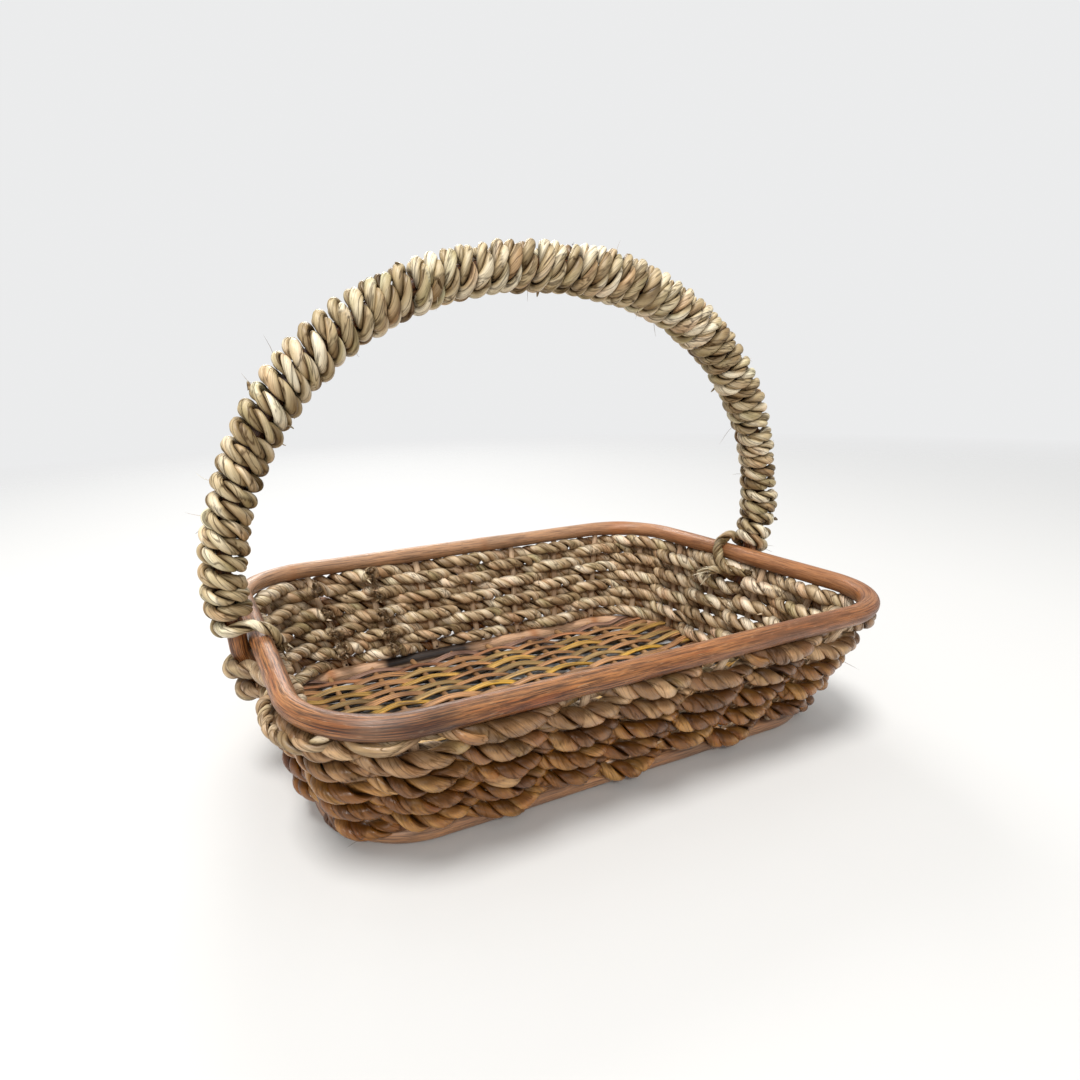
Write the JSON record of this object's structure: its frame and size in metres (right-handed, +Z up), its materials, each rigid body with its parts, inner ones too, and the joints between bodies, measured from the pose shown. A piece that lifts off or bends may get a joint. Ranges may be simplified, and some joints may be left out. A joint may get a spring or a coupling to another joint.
{
  "type": "bread basket",
  "caption": "Shallow rectangular basket with rope-woven leaning walls, bent cane rim and base hoops, a split-cane floor and a fixed rope-wrapped bow handle.",
  "frame": {"origin": "middle of the footprint, on the plane the basket stands on", "axes": "+X along the long side and the handle's arch, +Y across the basket, +Z up"},
  "size_m": [0.379, 0.255, 0.2593],
  "materials": {
    "rattan_pole": "satin varnish over bent rattan, with long darker grain streaks",
    "seagrass_wall": "two-strand twisted seagrass, matt inside and lightly varnished outside",
    "seagrass_handle": "two-strand twisted seagrass, pale khaki, matt",
    "cane_stake": "pale peeled cane, matt",
    "cane_rib": "brown round cane, matt",
    "cane_brown": "split cane, brown to purple-brown, low sheen",
    "cane_yellow": "split cane with its yellow skin on, low sheen",
    "cane_binding": "thin dark brown cane, low sheen"
  },
  "bodies": {
    "root": {"base_hoop": "rattan_pole", "base_splice_binding": "cane_binding", "floor_rib_1": "cane_rib", "floor_rib_2": "cane_rib", "floor_rib_3": "cane_rib", "floor_rib_4": "cane_rib", "floor_rib_5": "cane_rib", "floor_rib_6": "cane_rib", "floor_rib_7": "cane_rib", "floor_rib_8": "cane_rib", "floor_strand_1": "cane_brown", "floor_strand_2": "cane_brown", "floor_strand_3": "cane_brown", "floor_strand_4": "cane_yellow", "floor_strand_5": "cane_brown", "floor_strand_6": "cane_brown", "floor_strand_7": "cane_brown", "handle_pole": "rattan_pole", "handle_wrap_rope": "seagrass_handle", "rim_hoop": "rattan_pole", "stake_01": "cane_stake", "stake_02": "cane_stake", "stake_03": "cane_stake", "stake_04": "cane_stake", "stake_05": "cane_stake", "stake_06": "cane_stake", "stake_07": "cane_stake", "stake_08": "cane_stake", "stake_09": "cane_stake", "stake_10": "cane_stake", "stake_11": "cane_stake", "stake_12": "cane_stake", "stake_13": "cane_stake", "stake_14": "cane_stake", "stake_15": "cane_stake", "stake_16": "cane_stake", "stake_17": "cane_stake", "stake_18": "cane_stake", "stake_19": "cane_stake", "stake_20": "cane_stake", "stake_21": "cane_stake", "stake_22": "cane_stake", "stake_23": "cane_stake", "stake_24": "cane_stake", "stake_25": "cane_stake", "stake_26": "cane_stake", "wall_rope_1": "seagrass_wall", "wall_rope_2": "seagrass_wall", "wall_rope_3": "seagrass_wall", "wall_rope_4": "seagrass_wall", "wall_rope_5": "seagrass_wall", "wall_rope_6": "seagrass_wall", "wall_rope_7": "seagrass_wall", "wall_rope_8": "seagrass_wall", "wall_rope_9": "seagrass_wall"}
  },
  "joints": []
}
